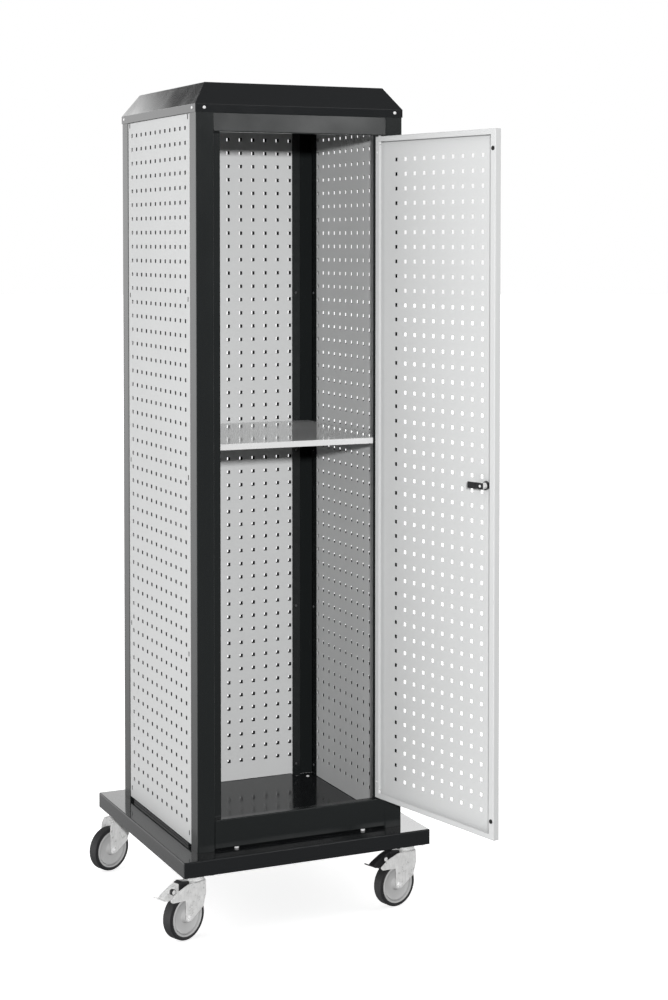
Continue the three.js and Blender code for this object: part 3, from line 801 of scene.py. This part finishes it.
def brake(corner, place):
    """A pedal between the fork's legs: a nose with a toe plate and a bolt, and a black heel."""
    body = corner + "_brake"
    nose = mm([(-67, 150, 2), (-86, 144, 12), (-114, 130, 8), (-122, 125, 3), (-122, 120, 3), (-114, 115, 5),
               (-94, 113, 6), (-78, 117, 8), (-67, 122, 2)])
    heel = mm([(-32, 138, 3), (-32, 148, 5), (-56, 153, 12), (-66.6, 150, 1), (-66.6, 122.2, 1),
               (-52, 128, 8)])
    toe = rounded_outline(mm([(-141, -13, 11), (-104, -13, 2), (-104, 13, 2), (-141, 13, 11)]), 6)
    lean = Matrix(((1, 0, 0, 0), (0, 1, 0, 0), (-0.40, 0, 1, 0.0716), (0, 0, 0, 1)))
    pedal = joined(slab(rounded_outline(nose, 4), -0.0095, 0.0095, 0.0012, "xz"),
                   placed(slab(toe, -0.0004, 0.0030, 0.0006), lean))
    light = corner == "front_left"
    piece(corner + "_pedal_lever", pedal, ZINC if light else BLACK_PLASTIC, body, [corner + "_brake_pedal"],
          matrix=place, sharp=35)
    piece(corner + "_pedal_heel", slab(rounded_outline(heel, 4), -0.0118, 0.0118, 0.0012, "xz"),
          BLACK_PLASTIC, body, matrix=place, sharp=35)
    # The bolt stands out on one side only, short enough to pass inside the fork's wing
    reach = 17.6 if light else 16.5
    at = (-0.092 if light else -0.085, 0, 0.1350)
    head = mm([(0.1, -reach), (6.6, -reach), (7.5, 0.8 - reach), (7.5, -9), (0.1, -9)])
    bolt = turned(head, 28, closed=False, centre=at)
    piece(corner + "_pedal_bolt", bolt, BLACK_PLASTIC, body, matrix=place)
    cap = mm([(0.1, -reach - 0.9), (4.6, -reach - 0.9), (5.6, -reach - 0.2), (5.6, 0.2 - reach),
              (0.1, 0.2 - reach)])
    piece(corner + "_pedal_bolt_end", turned(cap, 28, closed=False, centre=at), ZINC, body, matrix=place)
    rivets = []
    for side in (-1, 1):
        rivet = mm([(0.1, side * 22), (2.6, side * 22), (3.2, side * 21.4), (3.2, side * 12.4),
                    (0.1, side * 12.4)])
        rivets.append(turned(rivet, 24, closed=False, centre=(-0.072, 0, 0.126)))
    piece(corner + "_pedal_pivot", joined(*rivets), ZINC, corner + "_swivel", [corner + "_pedal_pin"],
          matrix=place)


def caster(corner):
    swivel = Vector(JOINTS[corner + "_swivel_turn"]["pos_m"])
    centre = Vector(JOINTS[corner + "_wheel_spin"]["pos_m"])
    angle = math.atan2(swivel.y - centre.y, swivel.x - centre.x)
    here = Matrix.Translation(Vector((swivel.x, swivel.y, 0)))
    place = here @ Matrix.Rotation(angle, 4, "Z")
    braked = corner.startswith("front")
    fork(corner, braked, place)
    wheel(corner, place)
    axle(corner, place)
    if braked:
        brake(corner, place)
    top = slab(rounded_outline(mm(rectangle(40, 45, 6)), 4), 0.163, 0.166, 0.0006)
    dish = [(6, 150.4), (21.5, 150.4), (23.6, 151.0), (24.4, 152.4), (24.5, 155), (23.4, 156.2), (22.6, 158),
            (22.8, 161), (24.5, 163.2), (6, 163.2)]
    cup = turned(mm(dish), 40, closed=True, axis="z")
    king_pin = [(0.1, 134.2), (7, 134.2), (9.4, 135.2), (10, 137.2), (10, 140.4), (6, 140.6), (6, 163),
                (0.1, 163)]
    pin = turned(mm(king_pin), 28, closed=False, axis="z")
    piece(corner + "_top_plate", joined(top, cup, pin), ZINC, "cabinet", [corner + "_caster_plate"],
          matrix=here, sharp=28)
    bolts = [((swivel.x + x, swivel.y + y, 0.163), (0, 0, -1))
             for x in (-0.031, 0.031) for y in (-0.036, 0.036)]
    head = slab(circle(0.0062, 6), 0, 0.0045, 0.0004)
    piece(corner + "_plate_bolts", scattered(head, bolts), BRIGHT_STEEL, "cabinet")


# ---------------------------------------------------------------- assembly

platform()
for side_x, side in ((-1, "left"), (1, "right")):
    post(f"front_{side}_post", side_x, -1)
    post(f"rear_{side}_post", side_x, 1)
rail("header", 0.004)
rail("sill")
roof()
frame_screws()
for side, turns in (("right", 0), ("rear", 1), ("left", 2)):
    wall(side, turns)
shelf()
door_leaf()
door_trim()
for corner in CASTERS:
    caster(corner)


# ---------------------------------------------------------------- studio

def floor():
    ring = [(p.x, p.y, -0.0002) for p in circle(60, 96)]
    mesh = bpy.data.meshes.new("studio_floor")
    mesh.from_pydata(ring, [], [tuple(range(len(ring)))])
    n = Nodes("studio_floor")
    tone = n.mix(n.noise(0.6, 2), (0.90, 0.90, 0.90, 1), (0.93, 0.93, 0.93, 1))
    glow = {"Emission_Color": (1, 1, 1, 1), "Emission_Strength": 0.80}
    mesh.materials.append(n.set(Base_Color=tone, Roughness=0.9, **glow))
    thing = bpy.data.objects.new("studio_floor", mesh)
    bpy.context.scene.collection.objects.link(thing)
    thing.visible_glossy = False
    thing.visible_diffuse = False
    return thing


def panel_light(name, place, target, size, power):
    lamp = bpy.data.lights.new(name, "AREA")
    lamp.shape = "RECTANGLE"
    lamp.size, lamp.size_y = size
    lamp.energy = power
    thing = bpy.data.objects.new(name, lamp)
    thing.location = place
    thing.rotation_euler = (Vector(target) - Vector(place)).to_track_quat("-Z", "Y").to_euler()
    thing.visible_glossy = False
    bpy.context.scene.collection.objects.link(thing)
    return thing


def surroundings():
    """White to the camera, soft walls of light at the sides for what lights the part, and for gloss a bright
    low backdrop, a card for the header and two narrow cards at the sides."""
    world = bpy.data.worlds.new("studio")
    world.use_nodes = True
    tree = world.node_tree
    background = tree.nodes["Background"]

    def math_node(operation, a, b=0.0, clamp=False):
        made = tree.nodes.new("ShaderNodeMath")
        made.operation = operation
        made.use_clamp = clamp
        for socket, value in zip(made.inputs, (a, b)):
            if isinstance(value, bpy.types.NodeSocket):
                tree.links.new(value, socket)
            else:
                socket.default_value = value
        return made.outputs[0]

    def ramp(value, start, end):
        """0 before start and 1 after end."""
        made = tree.nodes.new("ShaderNodeMapRange")
        made.interpolation_type = "SMOOTHSTEP"
        tree.links.new(value, made.inputs["Value"])
        made.inputs["From Min"].default_value = start
        made.inputs["From Max"].default_value = end
        return made.outputs["Result"]

    split = tree.nodes.new("ShaderNodeSeparateXYZ")
    tree.links.new(tree.nodes.new("ShaderNodeTexCoord").outputs["Generated"], split.inputs[0])
    x, y, z = split.outputs
    beside = ramp(y, -0.70, 0.0)
    left = math_node("MULTIPLY", math_node("MULTIPLY", ramp(x, 0.1, -1.0), beside), 1.32)
    right = math_node("MULTIPLY", math_node("MULTIPLY", ramp(x, -0.1, 1.0), beside), 0.95)
    rear = math_node("MULTIPLY", ramp(y, 0.1, 1.0), 0.25)
    soft = math_node("ADD", math_node("ADD", left, right), math_node("ADD", rear, 0.12))
    band = math_node("MULTIPLY", ramp(y, 0.55, 0.80), ramp(z, 0.343, 0.316))
    glow = math_node("ADD", 0.25, math_node("MULTIPLY", ramp(z, -0.35, 0.05), 1.25))
    glow = math_node("ADD", glow, math_node("MULTIPLY", ramp(x, 0.28, 0.46), 1.4))
    glow = math_node("ADD", glow, math_node("MULTIPLY", ramp(z, 0.295, 0.325), 1.3))
    across = math_node("MULTIPLY", ramp(x, 0.31, 0.37), ramp(x, 0.52, 0.44))
    upright = math_node("MULTIPLY", ramp(z, 0.115, 0.145), ramp(z, 0.36, 0.29))
    card = math_node("MULTIPLY", math_node("MULTIPLY", across, upright), ramp(y, -0.3, -0.6))
    gloss = math_node("ADD", math_node("MULTIPLY", band, glow), math_node("MULTIPLY", left, 0.3))
    gloss = math_node("ADD", gloss, math_node("MULTIPLY", card, 3.6))
    gloss = math_node("ADD", gloss, math_node("MULTIPLY", ramp(x, -0.93, -0.97), 3.5))
    gloss = math_node("ADD", gloss, math_node("MULTIPLY", ramp(x, 0.93, 0.97), 2.0))
    gloss = math_node("ADD", gloss, math_node("ADD", math_node("MULTIPLY", right, 0.22), 0.14))
    path = tree.nodes.new("ShaderNodeLightPath")
    difference = math_node("SUBTRACT", gloss, soft)
    seen = math_node("ADD", soft, math_node("MULTIPLY", difference, path.outputs["Is Glossy Ray"]))
    white = math_node("SUBTRACT", 1.0, seen)
    strength = math_node("ADD", seen, math_node("MULTIPLY", white, path.outputs["Is Camera Ray"]))
    tree.links.new(strength, background.inputs["Strength"])
    background.inputs["Color"].default_value = (1, 1, 1, 1)
    world.cycles.sampling_method = "NONE"
    bpy.context.scene.world = world


def studio():
    """A small key from beside the camera, kept off the floor so that the floor stays even."""
    ground = floor()
    surroundings()
    bpy.context.scene.view_settings.view_transform = "Standard"
    key = panel_light("key", (-2.23, -6.10, 2.32), (0, 0, 1.2), (0.22, 0.22), 470)
    apart = bpy.data.collections.new("not_lit_by_key")
    key.light_linking.receiver_collection = apart
    apart.objects.link(ground)
    apart.collection_objects[0].light_linking.link_state = "EXCLUDE"


def camera():
    lens = bpy.data.cameras.new("camera")
    lens.lens = 69.96
    lens.shift_x = 0.0077
    lens.shift_y = -0.1858
    lens.clip_end = 200
    thing = bpy.data.objects.new("camera", lens)
    thing.location = (-2.0236, -4.8898, 1.7639)
    thing.rotation_euler = (math.radians(87.87), 0, math.radians(-24.48))
    bpy.context.scene.collection.objects.link(thing)
    bpy.context.scene.camera = thing


studio()
camera()
